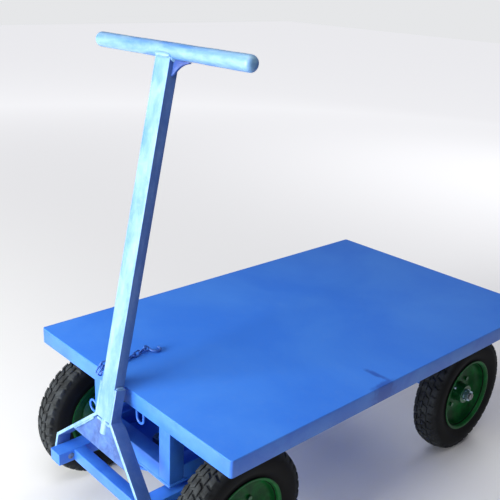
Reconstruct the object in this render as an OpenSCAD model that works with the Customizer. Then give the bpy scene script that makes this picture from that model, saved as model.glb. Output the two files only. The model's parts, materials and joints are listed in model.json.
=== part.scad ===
// Flatbed platform truck with a turntable steered front axle and a T-handle drawbar.
// Frame: +X to the truck's side, +Y towards its rear, +Z up. The origin is on the floor,
// below the middle of the truck's overall length.

/* [Deck] */
// Length of the deck
deck_l = 1200; // [960:10:1500]
// Width of the deck
deck_w = 750; // [720:10:950]
// Height of the deck's top above the floor
deck_h = 412; // [400:2:520]
// Thickness of the deck sheet
sheet_t = 3; // [2:0.5:5]
// Height of the frame rails under the sheet
rail_h = 38; // [34:1:60]
// Width of a frame rail's top leg
rail_w = 40; // [30:1:60]
// Thickness of a frame rail's legs
rail_t = 4; // [3:0.5:6]
// Radius of the deck's corners
corner_r = 7; // [2:1:12]

/* [Square tube] */
// Side of the square tube in the posts, lower rails and cross members
tube_w = 40; // [32:1:50]
// Wall of the square tube
tube_t = 3; // [2:0.5:4]

/* [Pedestal] */
// Width of the pedestal over its posts
ped_w = 306; // [280:2:400]
// Length of the pedestal over its posts
ped_l = 178; // [160:2:260]
// Height of the pedestal below the deck frame
ped_h = 155; // [143:1:170]
// Distance from the deck's front edge back to the pedestal
ped_back = 18; // [10:1:40]

/* [Turntable] */
// Diameter of the turntable plates
table_d = 200; // [160:5:240]
// Thickness of a turntable plate
table_t = 6; // [5:1:10]
// Thickness of the slip ring between the plates
slip_t = 3; // [2:0.5:5]
// Diameter of the kingpin
kingpin_d = 24; // [20:1:30]

/* [Axles] */
// Distance from the deck's rear edge ahead to the rear axle
rear_axle_ahead = 230; // [100:10:400]
// Width of the axle beams
beam_w = 40; // [36:1:60]
// Height of the axle beams
beam_h = 50; // [40:1:60]
// Diameter of the stub axles
axle_d = 20; // [16:1:25]
// Distance between the wheels' centre planes
track = 558; // [540:2:620]

/* [Wheels] */
// Outer diameter of a tyre
tyre_d = 350; // [340:2:360]
// Width of a tyre
tyre_w = 78; // [70:1:90]
// Thickness of a tyre's tread and sidewall
tyre_t = 9; // [6:1:12]
// Diameter of a rim over its flanges
rim_d = 212; // [200:2:230]
// Thickness of a rim's pressed steel
rim_t = 2.5; // [2:0.5:4]
// Outer diameter of a hub
hub_d = 54; // [52:1:64]
// Outer diameter of a wheel bearing
bearing_d = 42; // [36:1:47]
// Width of a wheel bearing
bearing_w = 12; // [8:1:14]

/* [Steering frame] */
// Width of a drawbar arm
arm_w = 40; // [30:1:50]
// Height of a drawbar arm
arm_h = 30; // [26:1:40]
// Distance between the drawbar arms' inner faces
arm_gap = 248; // [240:2:300]
// Distance of the drawbar hinge ahead of the deck's front edge
hinge_ahead = 70; // [70:1:110]
// Distance that an arm reaches past the hinge
arm_reach = 32; // [28:1:34]
// Diameter of the drawbar hinge pins
pin_d = 16; // [12:1:20]

/* [Drawbar] */
// Angle at which the drawbar leans back at rest
lean = 11.7; // [8:0.1:12]
// Distance from the hinge to the handle's axis
drawbar_l = 980; // [800:5:1200]
// Width of the drawbar's shaft
shaft_w = 50; // [40:1:60]
// Depth of the drawbar's shaft
shaft_d = 25; // [20:1:30]
// Width of the flat bars that make the legs
leg_w = 35; // [30:1:40]
// Thickness of the flat bars that make the legs
leg_t = 8; // [6:1:10]
// Outer diameter of the handle's pipe
handle_d = 34; // [27:1:42]
// Length of the handle over its caps
handle_l = 520; // [400:10:650]

/* [Keeper chain] */
// Diameter of the chain's wire
wire_d = 4; // [3.5:0.1:4.5]
// Outer width of a chain link
link_w = 15; // [14:0.5:17]

/* [Hidden] */
$fn = 96;
// Clearances
run_gap = 0.05;            // radial gap of a pin or shaft in its bore
face_gap = 0.3;            // gap between faces that pass each other
seat_gap = 0.1;            // gap round a part that is screwed or welded home
eps = 1;                   // how far a cut runs past the faces that it cuts

// Places along the truck
nose = hinge_ahead + arm_reach;
front_y = -(deck_l - nose) / 2;
back_y = front_y + deck_l;
ped_y = front_y + ped_back;
kingpin_y = ped_y + ped_l / 2;
rear_axle_y = back_y - rear_axle_ahead;
hinge_y = front_y - hinge_ahead;

// Heights, from the deck down
sheet_z = deck_h - sheet_t;
rail_z = sheet_z - rail_h;
ped_z = rail_z - ped_h;
upper_z = ped_z - table_t;
slip_z = upper_z - slip_t;
lower_top = slip_z - face_gap;
frame_top = lower_top - table_t;
beam_z = frame_top - beam_h;
hinge_z = frame_top - arm_h / 2;
wheel_z = tyre_d / 2;

// Places across the truck
post_x = (ped_w - tube_w) / 2;
wheel_x = track / 2;
arm_x = (arm_gap + arm_w) / 2;
arm_out = arm_gap / 2 + arm_w;

// Turntable and kingpin
kingpin_r = kingpin_d / 2;
washer_t = 3;
kingpin_head_t = 15;
kingpin_nut_t = 19;
hex_flats = 1.73;           // across corners of a hexagon head, over the shank's diameter

// Wheels
hub_l = 60;
bead_r = rim_d / 2 - 8;
rim_half = tyre_w / 2 - 4;
rim_bolts = 4;
rim_bolt_d = 8;
rim_bolt_head = 13;
rim_bolt_r = hub_d / 2 + 18;
hub_flange_r = rim_bolt_r + 12;
hub_flange_t = 5;
beam_l = track - hub_l - 2 * washer_t;
axle_nut_t = 10;
axle_nut_r = axle_d * 0.85;
plug_l = 60;               // solid plug in each end of an axle beam
axle_end = wheel_x + hub_l / 2 + washer_t + axle_nut_t + 6;

// Drawbar, in its own frame: hinge at the origin, +Z up the shaft, +Y to the back
leg_gap = 2;               // washer between an arm and a leg
leg_out = arm_out + leg_gap + leg_t;
knee = 41;                 // height of a leg's lower bend
neck_z = 160;              // height of a leg's upper bend
leg_top = 240;
leg_slope = atan((leg_out - shaft_w / 2 - leg_t) / (neck_z - knee));
bend = leg_t * tan(leg_slope / 2);
leg_front = -leg_w / 2;
shaft_y = leg_front + shaft_d / 2;
shaft_bottom = neck_z - 2;
shaft_t = 2.5;
gusset_bottom = 80;
gusset_t = 5;
gusset_y = shaft_y - gusset_t / 2 - 4;
handle_gusset_l = 54;
handle_gusset_h = 34;
handle_scoop_r = 58;
stub_r = 12;
stub_bottom = shaft_bottom - 36;
handle_t = 2.6;
cap_l = 14;
pin_end = 12;
cotter_d = 4;

// Deck fittings
eye_wire = 6;
chain_x = -92;             // side place of the chain's staple
link_in = 20;              // inner length of a chain link
staple_r = 8;              // radius of the chain's staple
hook_wire = 6;

// Centres of the chain's links from the staple's foot, with azimuth, rise and roll
CHAIN = [
    [0, -4.5, 2.6, 0, 50, 0],
    [0, 10.6, 12, -2, 0, 90],
    [0.8, 27.5, 9.4, -3, -7, 0],
    [2, 46.8, 7.8, -5, 0, -80],
    [2.8, 66, 7.1, -2, -3, 20],
    [1.6, 85, 6.8, 10, 0, -60],
    [-2.6, 103.9, 6.8, 16, 0, 35],
    [-7.4, 122.6, 7.4, 14, 3, -55]
];
HOOK = [-9.6, 135.8, 8.1]; // centre of the hook's eye from the staple's foot

// ---- shared shapes ----

// Box from one corner to the opposite one
module block(a, b) {
    translate(a) cube(b - a);
}

// Square or oblong tube along X, Y or Z, between two corners
module tube(a, b, t, along) {
    inset = [for (i = [0:2]) i == along ? -eps : t];
    difference() {
        block(a, b);
        block(a + inset, b - inset);
    }
}

module x_cylinder(r, x0, x1) {
    translate([x0, 0, 0]) rotate([0, 90, 0]) cylinder(r = r, h = x1 - x0);
}

module both_sides() {
    children();
    mirror([1, 0, 0]) children();
}

// ---- deck ----

// Plan of the deck, with its rounded corners
module deck_plan(z0, z1) {
    x = deck_w / 2 - corner_r;
    translate([0, 0, z0]) linear_extrude(z1 - z0) union() {
        translate([-x, front_y]) square([2 * x, deck_l]);
        translate([-deck_w / 2, front_y + corner_r]) square([deck_w, deck_l - 2 * corner_r]);
        for (sx = [-x, x], y = [front_y + corner_r, back_y - corner_r])
            translate([sx, y]) circle(r = corner_r, $fn = 48);
    }
}

module deck_sheet() {
    color("royalblue") deck_plan(sheet_z, deck_h);
}

// Angle along Y at the +X edge: upright leg outside, flat leg under the sheet
module side_angle(x_end) {
    intersection() {
        union() {
            block([x_end - rail_t, front_y, rail_z], [x_end, back_y, sheet_z]);
            block([x_end - rail_w, front_y, sheet_z - rail_t], [x_end, back_y, sheet_z]);
        }
        deck_plan(rail_z, sheet_z);
    }
}

// Angle along X between the side angles, with its upright leg at y_edge
module end_angle(y_edge, dir, flat_w) {
    y_leg = [y_edge, y_edge + dir * rail_t];
    y_flat = [y_edge, y_edge + dir * flat_w];
    x = deck_w / 2 - rail_t;
    x_flat = deck_w / 2 - rail_w;
    intersection() {
        union() {
            block([-x, min(y_leg), rail_z], [x, max(y_leg), sheet_z - rail_t]);
            block([-x_flat, min(y_flat), sheet_z - rail_t], [x_flat, max(y_flat), sheet_z]);
        }
        deck_plan(rail_z, sheet_z);
    }
}

module front_rail() {
    color("deepskyblue") end_angle(front_y, 1, min(rail_w, ped_back));
}

module rear_rail() {
    color("deepskyblue") end_angle(back_y, -1, rail_w);
}

module right_rail() {
    color("steelblue") side_angle(deck_w / 2);
}

module left_rail() {
    color("steelblue") mirror([1, 0, 0]) side_angle(deck_w / 2);
}

// Cross member: tube along X between the side angles' upright legs, centred on y
module cross_member(y) {
    x = deck_w / 2 - rail_t;
    x_flat = deck_w / 2 - rail_w - seat_gap;
    difference() {
        tube([-x, y - tube_w / 2, rail_z], [x, y + tube_w / 2, sheet_z], tube_t, 0);
        both_sides() block([x_flat, y - tube_w, sheet_z - rail_t], [x + eps, y + tube_w, sheet_z + eps]);
    }
}

module pedestal_cross_members() {
    color("royalblue") for (s = [-1, 1]) cross_member(kingpin_y + s * (ped_l - tube_w) / 2);
}

module middle_cross_member() {
    color("royalblue") cross_member((kingpin_y + rear_axle_y) / 2);
}

module rear_cross_member() {
    color("royalblue") cross_member(rear_axle_y);
}

// ---- pedestal and upper turntable ----

// Pair of posts, at the pedestal's front or rear end
module post_pair(y) {
    both_sides() tube([post_x - tube_w / 2, y - tube_w / 2, ped_z],
                      [post_x + tube_w / 2, y + tube_w / 2, rail_z], tube_t, 2);
}

module pedestal_front_posts() {
    color("deepskyblue") post_pair(kingpin_y - (ped_l - tube_w) / 2);
}

module pedestal_rear_posts() {
    color("royalblue") post_pair(kingpin_y + (ped_l - tube_w) / 2);
}

// Lower rail along X between a pair of posts
module lower_rail(y) {
    x = post_x - tube_w / 2;
    tube([-x, y - tube_w / 2, ped_z], [x, y + tube_w / 2, ped_z + tube_w], tube_t, 0);
}

module pedestal_front_rail() {
    color("deepskyblue") lower_rail(kingpin_y - (ped_l - tube_w) / 2);
}

module pedestal_rear_rail() {
    color("royalblue") lower_rail(kingpin_y + (ped_l - tube_w) / 2);
}

module pedestal_side_rails() {
    y = ped_l / 2 - tube_w;
    color("royalblue") both_sides()
        tube([post_x - tube_w / 2, kingpin_y - y, ped_z],
             [post_x + tube_w / 2, kingpin_y + y, ped_z + tube_w], tube_t, 1);
}

module upper_turntable_plate() {
    color("navy") translate([0, kingpin_y, upper_z]) difference() {
        translate([-ped_w / 2, -ped_l / 2, 0]) cube([ped_w, ped_l, table_t]);
        translate([0, 0, -eps]) cylinder(r = kingpin_r + seat_gap, h = table_t + 2 * eps);
    }
}

module slip_ring() {
    color("dimgray") translate([0, kingpin_y, slip_z]) difference() {
        cylinder(d = table_d - 10, h = slip_t);
        translate([0, 0, -eps]) cylinder(d = table_d - 70, h = slip_t + 2 * eps);
    }
}

// Bolt that both turntable plates and the front beam turn on
module kingpin() {
    end_z = beam_z - washer_t - kingpin_nut_t - 8;
    color("gray") translate([0, kingpin_y, 0]) {
        translate([0, 0, end_z]) cylinder(r = kingpin_r, h = ped_z - end_z);
        translate([0, 0, ped_z]) cylinder(r = kingpin_r * hex_flats, h = kingpin_head_t, $fn = 6);
    }
}

module kingpin_nut() {
    color("gray") translate([0, kingpin_y, beam_z - washer_t - kingpin_nut_t - face_gap]) difference() {
        union() {
            cylinder(r = kingpin_r * hex_flats, h = kingpin_nut_t, $fn = 6);
            translate([0, 0, kingpin_nut_t]) cylinder(r = kingpin_r * 2, h = washer_t);
        }
        translate([0, 0, -eps]) cylinder(r = kingpin_r + seat_gap, h = kingpin_nut_t + washer_t + 2 * eps);
    }
}

// ---- axles ----

// Beam tube along X with solid plugs that take the stub axles
module axle_beam(y, bore) {
    half = beam_l / 2;
    translate([0, y, 0]) difference() {
        block([-half, -beam_w / 2, beam_z], [half, beam_w / 2, frame_top]);
        both_sides() block([kingpin_r + 8, -beam_w / 2 + tube_t, beam_z + tube_t],
                           [half - plug_l, beam_w / 2 - tube_t, frame_top - tube_t]);
        both_sides() translate([0, 0, wheel_z]) x_cylinder(axle_d / 2 + seat_gap, half - plug_l - eps, half + eps);
        if (bore) translate([0, 0, beam_z - eps])
            cylinder(r = kingpin_r + run_gap, h = beam_h + 2 * eps);
    }
}

// Stub axle from inside the beam's plug to past the wheel's nut
module stub_axles(y) {
    color("gray") translate([0, y, wheel_z]) both_sides()
        x_cylinder(axle_d / 2, beam_l / 2 - plug_l, axle_end);
}

// Inner washer, castle nut and split pin on each stub axle
module axle_nuts(y) {
    x_nut = wheel_x + hub_l / 2 + face_gap + washer_t;
    color("lightsteelblue") translate([0, y, wheel_z]) both_sides() {
        difference() {
            union() {
                x_cylinder(axle_nut_r, x_nut - washer_t, x_nut);
                translate([x_nut, 0, 0]) rotate([0, 90, 0]) cylinder(r = axle_nut_r, h = axle_nut_t, $fn = 6);
            }
            x_cylinder(axle_d / 2 + seat_gap, x_nut - 2 * washer_t, x_nut + 2 * axle_nut_t);
        }
        difference() {
            x_cylinder(axle_nut_r, beam_l / 2, beam_l / 2 + washer_t - face_gap);
            x_cylinder(axle_d / 2 + seat_gap, beam_l / 2 - eps, beam_l / 2 + 2 * washer_t);
        }
    }
}

module rear_axle_beam() {
    color("royalblue") axle_beam(rear_axle_y, false);
}

module rear_stub_axles() {
    stub_axles(rear_axle_y);
}

module rear_axle_nuts() {
    axle_nuts(rear_axle_y);
}

// Posts from the deck frame down to the rear beam
module rear_axle_posts() {
    color("royalblue") translate([0, rear_axle_y, 0]) both_sides()
        tube([post_x - tube_w / 2, -tube_w / 2, frame_top],
             [post_x + tube_w / 2, tube_w / 2, rail_z], tube_t, 2);
}

// Flat bars that brace the rear posts across the truck
module rear_axle_braces() {
    x = post_x - tube_w / 2;
    rise = rail_z - frame_top;
    run = min(rise, x - 10);
    bar = 30;
    color("royalblue") translate([0, rear_axle_y, 0]) both_sides()
        translate([0, tube_t, 0]) rotate([90, 0, 0]) linear_extrude(2 * tube_t)
            polygon([[x, frame_top], [x, frame_top + bar], [x - run + bar, rail_z], [x - run, rail_z],
                     [x - bar / 2, frame_top]]);
}

// ---- steering frame ----

module lower_turntable_plate() {
    color("navy") translate([0, kingpin_y, frame_top]) difference() {
        cylinder(d = table_d, h = table_t);
        translate([0, 0, -eps]) cylinder(r = kingpin_r + run_gap, h = table_t + 2 * eps);
    }
}

// Triangular ribs under the lower plate, ahead of and behind the beam
module turntable_ribs() {
    reach = table_d / 2 - beam_w / 2 - 25;
    color("royalblue") translate([0, kingpin_y, 0]) for (sx = [-1, 1], sy = [0, 1])
        mirror([0, sy, 0]) translate([sx * table_d * 0.22 + 3, beam_w / 2, frame_top]) rotate([0, -90, 0])
            linear_extrude(6) polygon([[0, 0], [0, reach], [-beam_h * 0.8, 0]]);
}

module front_axle_beam() {
    color("royalblue") axle_beam(kingpin_y, true);
}

module front_stub_axles() {
    stub_axles(kingpin_y);
}

module front_axle_nuts() {
    axle_nuts(kingpin_y);
}

// Tube from ahead of the drawbar hinge back to the beam, bored for the hinge pin
module steering_arm() {
    y0 = hinge_y - arm_reach;
    y1 = kingpin_y - beam_w / 2;
    difference() {
        tube([arm_gap / 2, y0, frame_top - arm_h], [arm_out, y1, frame_top], tube_t, 1);
        translate([0, hinge_y, hinge_z]) x_cylinder(pin_d / 2 + run_gap, arm_gap / 2 - eps, arm_out + eps);
    }
    block([arm_gap / 2 + tube_t, y0, frame_top - arm_h + tube_t], [arm_out - tube_t, y0 + tube_t, frame_top - tube_t]);
}

module steering_arm_right() {
    color("cornflowerblue") steering_arm();
}

module steering_arm_left() {
    color("cornflowerblue") mirror([1, 0, 0]) steering_arm();
}

module steering_cross_bar() {
    y = hinge_y + pin_d / 2;
    color("cornflowerblue") tube([-arm_gap / 2, y, frame_top - arm_h], [arm_gap / 2, y + arm_h, frame_top], tube_t, 0);
}

module hinge_pins() {
    color("gray") translate([0, hinge_y, hinge_z]) both_sides() difference() {
        x_cylinder(pin_d / 2, arm_gap / 2, leg_out + pin_end);
        translate([leg_out + washer_t + cotter_d, 0, -pin_d])
            cylinder(d = cotter_d + 2 * run_gap, h = 2 * pin_d, $fn = 32);
    }
}

// Spacing washer between arm and leg, and plain washer outside the leg
module hinge_washers() {
    color("gray") translate([0, hinge_y, hinge_z]) both_sides() difference() {
        union() {
            x_cylinder(pin_d * 0.9, arm_out, arm_out + leg_gap - face_gap);
            x_cylinder(pin_d * 0.9, leg_out + face_gap, leg_out + washer_t);
        }
        x_cylinder(pin_d / 2 + run_gap, arm_out - eps, leg_out + 2 * washer_t);
    }
}

module hinge_cotters() {
    x = leg_out + washer_t + cotter_d;
    color("silver") translate([0, hinge_y, hinge_z]) both_sides() translate([x, 0, 0]) {
        translate([0, 0, -pin_d * 0.85]) cylinder(d = cotter_d, h = pin_d * 1.7, $fn = 32);
        translate([0, 0, pin_d * 0.85]) sphere(d = cotter_d * 1.6, $fn = 32);
    }
}

// ---- drawbar ----

module in_drawbar() {
    translate([0, hinge_y, hinge_z]) rotate([-lean, 0, 0]) children();
}

module drawbar_shaft() {
    color("paleturquoise") in_drawbar() difference() {
        tube([-shaft_w / 2, leg_front, shaft_bottom], [shaft_w / 2, leg_front + shaft_d, drawbar_l], shaft_t, 2);
        translate([0, shaft_y, drawbar_l]) x_cylinder(handle_d / 2 + run_gap, -shaft_w, shaft_w);
    }
}

// Flat bar: beside the shaft at the neck, splayed out, then down over the hinge pin
module drawbar_leg() {
    x_neck = shaft_w / 2 + leg_t;
    difference() {
        union() {
            translate([0, -leg_front, 0]) rotate([90, 0, 0]) linear_extrude(leg_w) polygon([
                [leg_out, 0], [leg_out, knee], [x_neck, neck_z], [x_neck, leg_top],
                [x_neck - leg_t, leg_top], [x_neck - leg_t, neck_z - bend],
                [leg_out - leg_t, knee - bend], [leg_out - leg_t, 0]
            ]);
            x_cylinder(leg_w / 2, leg_out - leg_t, leg_out);
        }
        x_cylinder(pin_d / 2 + run_gap, leg_out - 2 * leg_t, leg_out + leg_t);
        // the neck is no deeper than the shaft, so it clears the deck's edge
        rotate([90, 0, 90]) linear_extrude(leg_out) polygon([
            [leg_front + shaft_d, neck_z + 12], [-leg_front + eps, neck_z - 12],
            [-leg_front + eps, leg_top + eps], [leg_front + shaft_d, leg_top + eps]
        ]);
    }
}

module drawbar_leg_right() {
    color("paleturquoise") in_drawbar() drawbar_leg();
}

module drawbar_leg_left() {
    color("paleturquoise") in_drawbar() mirror([1, 0, 0]) drawbar_leg();
}

// Half distance between the legs' inner faces at a height up the drawbar
function leg_inner(z) = shaft_w / 2 + (neck_z - bend - z) * tan(leg_slope);

// Web plate between the legs, notched round the stub
module drawbar_gusset() {
    top = neck_z - bend - 6;
    color("lightsteelblue") in_drawbar() translate([0, gusset_y + gusset_t, 0]) rotate([90, 0, 0])
        linear_extrude(gusset_t) difference() {
            polygon([
                [-leg_inner(gusset_bottom), gusset_bottom], [leg_inner(gusset_bottom), gusset_bottom],
                [leg_inner(top), top], [-leg_inner(top), top]
            ]);
            translate([-stub_r, stub_bottom]) square([2 * stub_r, neck_z]);
        }
}

// Round bar that plugs the shaft's open foot
module drawbar_stub() {
    inner_r = shaft_d / 2 - shaft_t;
    color("lightblue") in_drawbar() translate([0, shaft_y, 0]) {
        translate([0, 0, stub_bottom]) cylinder(r = stub_r, h = shaft_bottom - stub_bottom);
        translate([0, 0, shaft_bottom]) cylinder(r = inner_r, h = 20);
    }
}

module handle_bar() {
    half = handle_l / 2 - cap_l;
    color("paleturquoise") in_drawbar() translate([0, shaft_y, drawbar_l]) difference() {
        x_cylinder(handle_d / 2, -half, half);
        x_cylinder(handle_d / 2 - handle_t, -half - eps, half + eps);
    }
}

// Domed caps welded on the pipe's ends
module handle_caps() {
    half = handle_l / 2 - cap_l;
    r = handle_d / 2;
    round_r = cap_l - 4;
    color("paleturquoise") in_drawbar() translate([0, shaft_y, drawbar_l]) both_sides() translate([half, 0, 0])
        rotate([0, 90, 0]) rotate_extrude() union() {
            square([r, cap_l - round_r]);
            square([r - round_r, cap_l]);
            translate([r - round_r, cap_l - round_r]) intersection() {
                circle(r = round_r, $fn = 48);
                square(round_r);
            }
        }
}

// Small triangular plate in the corner between shaft and handle
module handle_gusset() {
    x = shaft_w / 2;
    z = drawbar_l - handle_d / 2;
    color("steelblue") in_drawbar() translate([0, shaft_y + 3, 0]) rotate([90, 0, 0]) linear_extrude(6)
        difference() {
            polygon([[x, z], [x + handle_gusset_l, z], [x, z - handle_gusset_h]]);
            translate([x + handle_gusset_l + 2, z - handle_scoop_r - 3]) circle(handle_scoop_r);
        }
}

// ---- keeper chain and lashing points ----

module wire_arc(major, wire, start, sweep) {
    rotate([0, 0, start]) rotate_extrude(angle = sweep) translate([major, 0]) circle(d = wire, $fn = 24);
}

// Chain link along Y, lying flat
module chain_link() {
    major = (link_w - wire_d) / 2;
    straight = (link_in + wire_d) / 2 - major;
    for (s = [0, 180]) rotate([0, 0, s]) {
        translate([0, straight, 0]) wire_arc(major, wire_d, 0, 180);
        translate([major, -straight, 0]) rotate([-90, 0, 0]) cylinder(d = wire_d, h = 2 * straight, $fn = 24);
    }
}

module keeper_chain() {
    color("midnightblue") for (c = CHAIN)
        translate([chain_x + c[0], front_y + c[1], deck_h + c[2]]) rotate([0, 0, c[3]])
            rotate([c[4], 0, 0]) rotate([0, c[5], 0]) chain_link();
}

// Upright wire staple on the deck's front face that holds the chain's first link
module chain_staple() {
    color("midnightblue") translate([chain_x, front_y, deck_h - staple_r]) rotate([0, -90, 0])
        wire_arc(staple_r, wire_d, 180, 180);
}

// Hook with its eye across it, lying on the deck at the chain's end
module chain_hook() {
    major = 14;
    eye = 7;
    color("midnightblue") translate([chain_x, front_y, deck_h] + HOOK) {
        rotate([0, 0, 14]) rotate([0, 35, 0]) wire_arc(eye, wire_d, 0, 360);
        rotate([0, 0, -30]) translate([0, eye, 0]) rotate([-9, 0, 0]) translate([0, major, 0])
            wire_arc(major, hook_wire, -90, 230);
    }
}

// U-shaped eye under the deck's front edge that takes the hook
module drawbar_hook_eye() {
    r = 13;
    drop = 20;
    tail = 15;
    color("royalblue") translate([58, front_y + rail_t + eye_wire / 2, rail_z - drop]) {
        for (x = [-r, r]) translate([x, 0, 0]) cylinder(d = eye_wire, h = drop + tail, $fn = 32);
        rotate([90, 0, 0]) wire_arc(r, eye_wire, 180, 180);
    }
}

// Round ring welded to the left front post
module lashing_ring() {
    r = 15;
    x = -ped_w / 2 - r - eye_wire / 2 + 0.5;
    color("royalblue") difference() {
        translate([x, kingpin_y - ped_l / 2 + eye_wire, ped_z + tube_w + 12]) rotate([90, 0, 0])
            wire_arc(r, eye_wire, 0, 360);
        translate([0, kingpin_y, 0]) block([-ped_w / 2, -ped_l, 0], [0, ped_l, deck_h]);
    }
}

// ---- wheels ----

// Cross-section of the tyre: radius across, width up; open between its beads
module tyre_section() {
    r = tyre_d / 2;
    mid_r = r - tyre_w / 2;
    crown_r = tyre_w * 0.9;
    tread_w = tyre_w * 0.72;
    bead_w = 2 * (rim_half - rim_t);
    difference() {
        union() {
            translate([mid_r, 0]) circle(r = tyre_w / 2);
            translate([bead_r, -bead_w / 2]) square([mid_r - bead_r, bead_w]);
            intersection() {
                translate([r - crown_r, 0]) circle(r = crown_r);
                translate([mid_r, -tread_w / 2]) square([tyre_w, tread_w]);
            }
        }
        translate([mid_r, 0]) circle(r = tyre_w / 2 - tyre_t);
        translate([bead_r - tyre_w, tyre_t + bead_w / -2]) square([mid_r - bead_r + tyre_w, bead_w - 2 * tyre_t]);
        translate([bead_r - tyre_w, -tyre_w]) square([tyre_w, 2 * tyre_w]);
    }
}

module tyre() {
    color("black") rotate([0, 90, 0]) rotate_extrude($fn = 128) tyre_section();
}

// Pressed rim half: flange, bead seat and dished disc, from the centre plane outwards
module rim_half() {
    rotate([0, 90, 0]) rotate_extrude(convexity = 6) union() {
        translate([bead_r, rim_half - rim_t]) square([rim_d / 2 - bead_r, rim_t]);
        translate([bead_r - rim_t, 0]) square([rim_t, rim_half]);
        translate([hub_d / 2 + seat_gap, 0]) square([bead_r - rim_t / 2 - hub_d / 2, rim_t]);
    }
}

module rim() {
    color("forestgreen") difference() {
        both_sides() translate([seat_gap / 2, 0, 0]) rim_half();
        rim_holes(rim_bolt_d / 2 + seat_gap);
    }
}

module rim_holes(r) {
    for (k = [0:rim_bolts - 1]) rotate([k * 360 / rim_bolts + 45, 0, 0]) translate([0, 0, rim_bolt_r])
        x_cylinder(r, -tyre_w / 2, tyre_w / 2);
}

// Hub tube with its flange, two bearings and the bolts that clamp the rim halves
module hub() {
    flange_x = -seat_gap - rim_t - hub_flange_t;
    color("darkgreen") difference() {
        union() {
            x_cylinder(hub_d / 2, -hub_l / 2, hub_l / 2);
            x_cylinder(hub_flange_r, flange_x, flange_x + hub_flange_t);
        }
        x_cylinder(axle_d / 2 + 6, -hub_l, hub_l);
        both_sides() x_cylinder(bearing_d / 2 + seat_gap, hub_l / 2 - bearing_w - seat_gap, hub_l);
        rim_holes(rim_bolt_d / 2 + seat_gap);
    }
    color("silver") both_sides() difference() {
        x_cylinder(bearing_d / 2, hub_l / 2 - bearing_w, hub_l / 2);
        x_cylinder(axle_d / 2 + run_gap, hub_l / 2 - bearing_w - eps, hub_l);
    }
    color("silver") for (k = [0:rim_bolts - 1]) rotate([k * 360 / rim_bolts + 45, 0, 0])
        translate([0, 0, rim_bolt_r]) {
            x_cylinder(rim_bolt_d / 2, flange_x, rim_t + seat_gap);
            translate([rim_t + seat_gap, 0, 0]) rotate([0, 90, 0])
                cylinder(d = rim_bolt_head, h = rim_bolt_d, $fn = 6);
            translate([flange_x - 6, 0, 0]) rotate([0, 90, 0]) cylinder(d = rim_bolt_head, h = 6, $fn = 6);
        }
}

// Puts a wheel's piece, made with its outer side at +X, in place
module at_wheel(side, y) {
    translate([side * wheel_x, y, wheel_z]) mirror([side < 0 ? 1 : 0, 0, 0]) children();
}

module tyre_front_left() { at_wheel(-1, kingpin_y) tyre(); }
module rim_front_left() { at_wheel(-1, kingpin_y) rim(); }
module hub_front_left() { at_wheel(-1, kingpin_y) hub(); }
module tyre_front_right() { at_wheel(1, kingpin_y) tyre(); }
module rim_front_right() { at_wheel(1, kingpin_y) rim(); }
module hub_front_right() { at_wheel(1, kingpin_y) hub(); }
module tyre_rear_left() { at_wheel(-1, rear_axle_y) tyre(); }
module rim_rear_left() { at_wheel(-1, rear_axle_y) rim(); }
module hub_rear_left() { at_wheel(-1, rear_axle_y) hub(); }
module tyre_rear_right() { at_wheel(1, rear_axle_y) tyre(); }
module rim_rear_right() { at_wheel(1, rear_axle_y) rim(); }
module hub_rear_right() { at_wheel(1, rear_axle_y) hub(); }

deck_sheet();
front_rail();
rear_rail();
left_rail();
right_rail();
pedestal_cross_members();
middle_cross_member();
rear_cross_member();
pedestal_front_posts();
pedestal_rear_posts();
pedestal_front_rail();
pedestal_rear_rail();
pedestal_side_rails();
upper_turntable_plate();
slip_ring();
kingpin();
kingpin_nut();
rear_axle_posts();
rear_axle_braces();
rear_axle_beam();
rear_stub_axles();
rear_axle_nuts();
chain_staple();
keeper_chain();
chain_hook();
drawbar_hook_eye();
lashing_ring();
lower_turntable_plate();
turntable_ribs();
front_axle_beam();
front_stub_axles();
front_axle_nuts();
steering_arm_left();
steering_arm_right();
steering_cross_bar();
hinge_pins();
hinge_washers();
hinge_cotters();
drawbar_shaft();
drawbar_leg_left();
drawbar_leg_right();
drawbar_gusset();
drawbar_stub();
handle_bar();
handle_caps();
handle_gusset();
tyre_front_left();
rim_front_left();
hub_front_left();
tyre_front_right();
rim_front_right();
hub_front_right();
tyre_rear_left();
rim_rear_left();
hub_rear_left();
tyre_rear_right();
rim_rear_right();
hub_rear_right();
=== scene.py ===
import json
import math

import bmesh
import bpy
from mathutils import Matrix, Vector, noise

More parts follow.
